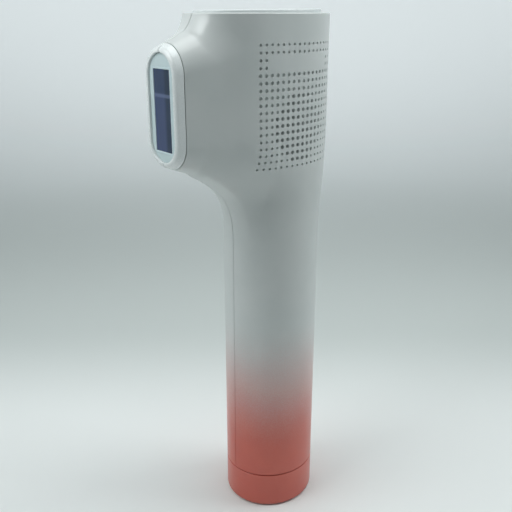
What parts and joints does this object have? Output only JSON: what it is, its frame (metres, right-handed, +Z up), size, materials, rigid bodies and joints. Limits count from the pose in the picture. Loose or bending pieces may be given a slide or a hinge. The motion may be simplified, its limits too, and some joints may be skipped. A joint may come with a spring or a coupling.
{
  "type": "ipl hair remover",
  "caption": "Upright hand-held IPL hair remover: oval handle flaring into a head with a forward lamp nozzle, side vent grid and screw-together shells.",
  "frame": {"origin": "centre of the foot face, on the handle's axis", "axes": "+Z up the handle, -Y out of the lamp window (front), +X out of the vented side"},
  "size_m": [0.0376, 0.0738, 0.2064],
  "materials": {
    "housing": "satin white fading to coral at the foot",
    "housing_coral": "satin coral",
    "cover": "satin",
    "internal_plastic": "moulded",
    "black_plastic": "moulded",
    "fastener": "zinc plated",
    "contact_metal": "plated",
    "ring": "gloss white",
    "bezel": "pale blue-grey satin",
    "glass_border": "gloss",
    "filter_glass": "dark blue coated filter",
    "magnet": "sintered",
    "gasket": "silicone",
    "quartz": "clear",
    "lamp_ceramic": "matt",
    "reflector": "polished aluminium",
    "heat_sink": "extruded",
    "sensor": "epoxy bead",
    "copper": "enamelled copper wire",
    "circuit_board": "solder mask",
    "capacitor_sleeve": "heat-shrink sleeve",
    "chip": "moulded epoxy",
    "connector": "nylon",
    "panel": "satin",
    "light_guide": "frosted clear",
    "led": "encapsulated",
    "button": "satin",
    "wire": "PVC insulation"
  },
  "bodies": {
    "housing": {"left_shell": "housing", "right_shell": "housing", "bottom_cap": "housing_coral", "top_cover": "cover", "top_bracket": "internal_plastic", "foot_plate": "internal_plastic", "midframe": "internal_plastic", "chassis": "internal_plastic", "top_screws": "fastener", "foot_screws": "fastener", "fan_screws": "fastener", "control_board_screws": "fastener", "dc_jack": "black_plastic", "dc_jack_pin": "contact_metal", "nozzle_bulkhead": "internal_plastic", "latch_magnets": "magnet", "window_gasket": "gasket", "quartz_window": "quartz", "lamp_holder": "lamp_ceramic", "flash_tube": "quartz", "tube_electrodes": "contact_metal", "reflector": "reflector", "fan_frame": "black_plastic", "fan_duct": "internal_plastic", "heat_sink": "heat_sink", "temperature_sensor": "sensor", "trigger_coil": "copper", "main_board": "circuit_board", "flash_capacitor": "capacitor_sleeve", "transformer_core": "magnet", "transformer_winding": "copper", "power_transistors": "chip", "board_components": "chip", "board_connectors": "connector", "control_panel": "panel", "control_board": "circuit_board", "light_guides": "light_guide", "level_leds": "led", "flash_switch": "chip", "power_switch": "chip", "power_wires": "wire", "lamp_wire": "wire", "fan_wire": "wire"},
    "attachment": {"lamp_ring": "ring", "bezel_plate": "bezel", "glass_frame": "glass_border", "filter_glass": "filter_glass", "attachment_keepers": "fastener"},
    "flash_button": {"flash_button": "button", "flash_switch_stem": "contact_metal"},
    "power_button": {"power_button": "button", "power_switch_stem": "contact_metal"},
    "fan_rotor": {"fan_rotor": "black_plastic", "fan_shaft": "fastener"}
  },
  "joints": [
    {"name": "attachment_pull", "type": "slide", "parent": "housing", "child": "attachment", "axis": [0, -1, 0], "range_m": [0, 0.03]},
    {"name": "flash_press", "type": "slide", "parent": "housing", "child": "flash_button", "axis": [0, -1, 0], "range_m": [0, 0.0005], "stiffness_N_per_m": 1500},
    {"name": "power_press", "type": "slide", "parent": "housing", "child": "power_button", "axis": [0, -1, 0], "range_m": [0, 0.0005], "stiffness_N_per_m": 1500},
    {"name": "fan_spin", "type": "hinge", "parent": "housing", "child": "fan_rotor", "pos_m": [0.009, -0.0023, 0.1661], "axis": [1, 0, 0], "continuous": true}
  ]
}
